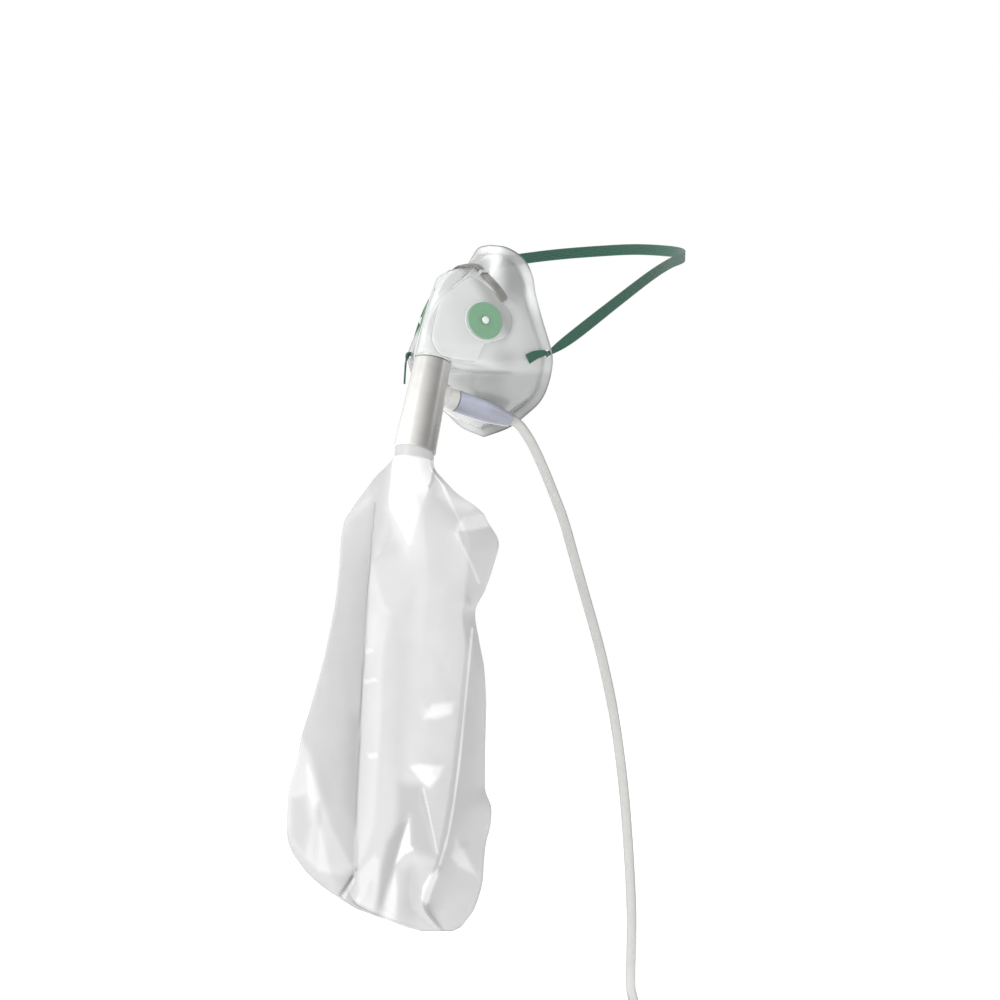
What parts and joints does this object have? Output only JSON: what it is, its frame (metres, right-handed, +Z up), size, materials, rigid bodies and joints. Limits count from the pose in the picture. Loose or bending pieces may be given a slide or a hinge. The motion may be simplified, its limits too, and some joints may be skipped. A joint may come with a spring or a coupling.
{
  "type": "oxygen face mask",
  "caption": "Clear oxygen face mask with green flap valves, head strap, reservoir bag on a wide connector, and coiled supply tubing.",
  "frame": {"origin": "in the face opening, midway between the two strap holes", "axes": "+Z up as worn, -Y the way the wearer faces, +X to the wearer's left"},
  "size_m": [0.1824, 0.2972, 0.5218],
  "materials": {
    "clear_vinyl": "clear soft vinyl, polished",
    "bag_film": "clear crumpled film, glossy",
    "clear_moulding": "translucent moulding, satin",
    "green_silicone": "soft matte silicone",
    "pale_silicone": "soft matte silicone",
    "lilac_vinyl": "tinted translucent vinyl",
    "tubing_vinyl": "clear tubing, glossy",
    "green_elastic": "woven elastic",
    "soft_alloy": "dull rolled strip",
    "white_band": "matte"
  },
  "bodies": {
    "root": {"mask_shell": "clear_vinyl", "valve_disc_left": "green_silicone", "valve_disc_right": "green_silicone", "nose_clip": "soft_alloy", "head_strap": "green_elastic", "bag_connector": "clear_moulding", "inhale_valve_disc": "pale_silicone", "bag_neck_ring": "clear_moulding", "reservoir_bag": "bag_film", "inlet_cuff": "lilac_vinyl", "oxygen_tubing": "tubing_vinyl", "tubing_coil": "tubing_vinyl", "tubing_tie": "white_band", "supply_cuff": "lilac_vinyl"}
  },
  "joints": []
}
